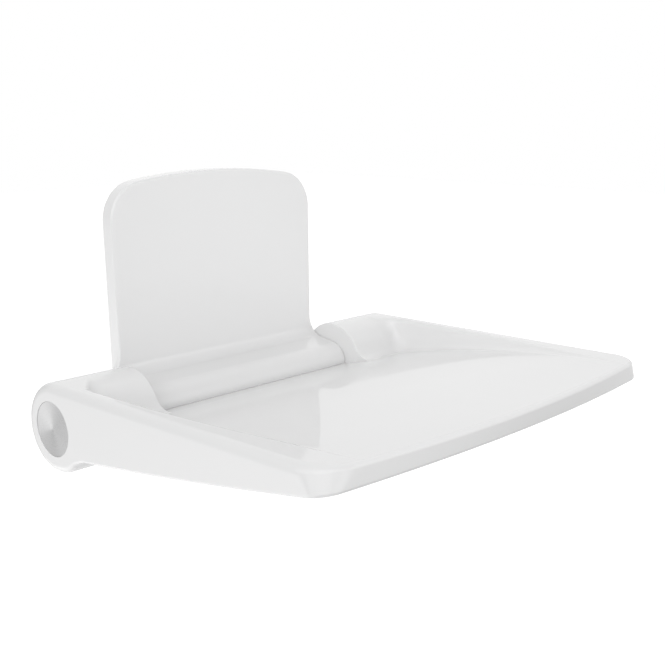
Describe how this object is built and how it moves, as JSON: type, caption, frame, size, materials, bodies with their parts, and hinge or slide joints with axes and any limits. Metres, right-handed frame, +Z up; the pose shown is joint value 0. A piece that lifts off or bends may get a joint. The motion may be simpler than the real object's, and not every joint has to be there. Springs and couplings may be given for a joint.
{
  "type": "wall-mounted fold-up shower seat",
  "caption": "White moulded shower seat with a shallow dish, hinged on a wall plate through two barrels closed by round metal caps; it folds up against the wall.",
  "frame": {"origin": "on the wall plane, at the height of the hinge axis and in the middle of the width", "axes": "+Z up, +Y into the wall, so the seat reaches out towards -Y, and +X to the right as seen from the room"},
  "size_m": [0.324, 0.2928, 0.192],
  "materials": {
    "white_plastic": "glossy moulded white plastic",
    "turned_steel": "disc turned in fine concentric circles",
    "stainless_steel": "plain stainless steel",
    "bracket_aluminium": "cast and machined aluminium",
    "natural_nylon": "natural nylon, satin",
    "black_rubber": "soft black rubber",
    "white_rubber": "soft white rubber, matt"
  },
  "bodies": {
    "wall_unit": {"wall_bracket": "bracket_aluminium", "wall_cover": "white_plastic", "cover_seal": "white_rubber", "cover_screw_left": "stainless_steel", "cover_screw_right": "stainless_steel", "stop_pad_left": "black_rubber", "stop_pad_right": "black_rubber", "hinge_axle": "stainless_steel", "axle_grub_screw_left": "stainless_steel", "axle_grub_screw_right": "stainless_steel", "thrust_washer_left": "natural_nylon", "thrust_washer_right": "natural_nylon", "spring_washer_left": "stainless_steel", "spring_washer_right": "stainless_steel", "axle_washer_left": "stainless_steel", "axle_washer_right": "stainless_steel", "axle_nut_left": "stainless_steel", "axle_nut_right": "stainless_steel"},
    "seat": {"seat_shell": "white_plastic", "seat_base": "white_plastic", "base_screw_1": "stainless_steel", "base_screw_2": "stainless_steel", "base_screw_3": "stainless_steel", "base_screw_4": "stainless_steel", "base_screw_5": "stainless_steel", "base_screw_6": "stainless_steel", "hinge_bush_inner_left": "natural_nylon", "hinge_bush_inner_right": "natural_nylon", "hinge_bush_outer_left": "natural_nylon", "hinge_bush_outer_right": "natural_nylon", "end_cap_left": "turned_steel", "end_cap_right": "turned_steel", "cap_o_ring_left": "black_rubber", "cap_o_ring_right": "black_rubber"}
  },
  "joints": [
    {"name": "seat_fold", "type": "hinge", "parent": "wall_unit", "child": "seat", "pos_m": [0, -0.0315, 0], "axis": [-1, 0, 0], "range_deg": [0, 87]}
  ]
}
